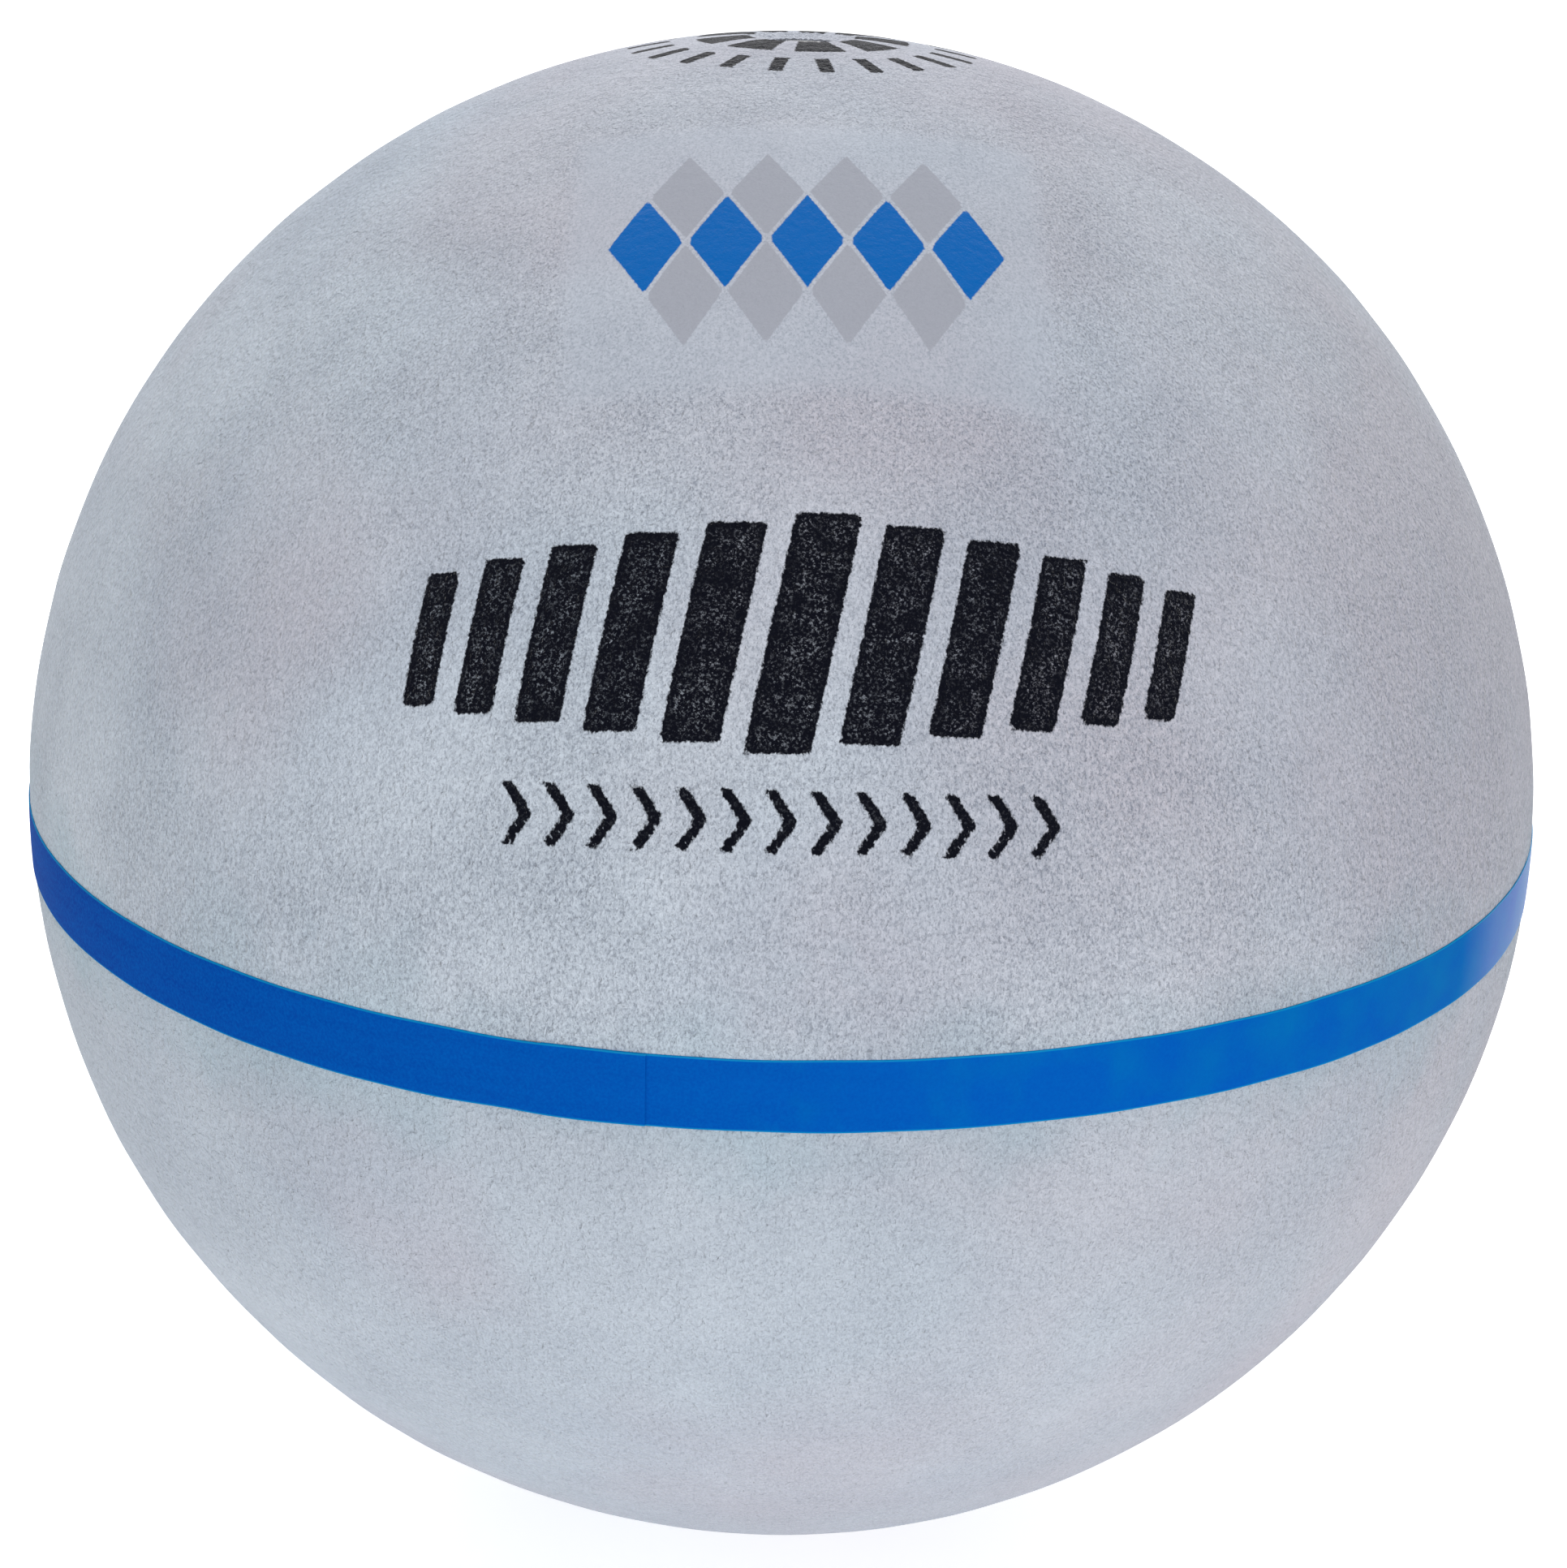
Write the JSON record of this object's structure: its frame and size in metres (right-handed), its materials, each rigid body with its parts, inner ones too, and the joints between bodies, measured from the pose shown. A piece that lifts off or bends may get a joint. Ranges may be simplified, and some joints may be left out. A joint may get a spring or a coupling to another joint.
{
  "type": "prellball ball",
  "caption": "Inflated leather ball of half shells joined under a lapped tape band, with a sunk needle valve and a pull-out plug, for striking to the floor in a team game.",
  "frame": {"origin": "centre of the ball", "axes": "+Z out through the valve, -Y towards the front that the picture shows, +X to the right seen from there; the band lies on Z = 0"},
  "size_m": [0.2108, 0.2108, 0.2097],
  "materials": {
    "leather_upper": "matt chrome-tanned leather, napped side out",
    "leather_lower": "matt chrome-tanned leather, napped side out, slightly paler",
    "vinyl_tape": "glossy blue adhesive tape",
    "cotton_cloth": "undyed plain-woven cotton",
    "polyester_thread": "undyed wound thread",
    "butyl_rubber": "matt black dipped rubber",
    "valve_rubber": "moulded black rubber",
    "plug_rubber": "moulded soft black rubber"
  },
  "bodies": {
    "ball": {"upper_cover": "leather_upper", "lower_cover": "leather_lower", "seam_band": "vinyl_tape", "upper_lining": "cotton_cloth", "lower_lining": "cotton_cloth", "joint_tape": "cotton_cloth", "winding": "polyester_thread", "bladder": "butyl_rubber", "valve_body": "valve_rubber", "balance_patch": "butyl_rubber"},
    "plug": {"valve_plug": "plug_rubber"}
  },
  "joints": [
    {"name": "plug_pull", "type": "slide", "parent": "ball", "child": "plug", "axis": [0, 0, 1], "range_m": [0, 0.016]}
  ]
}
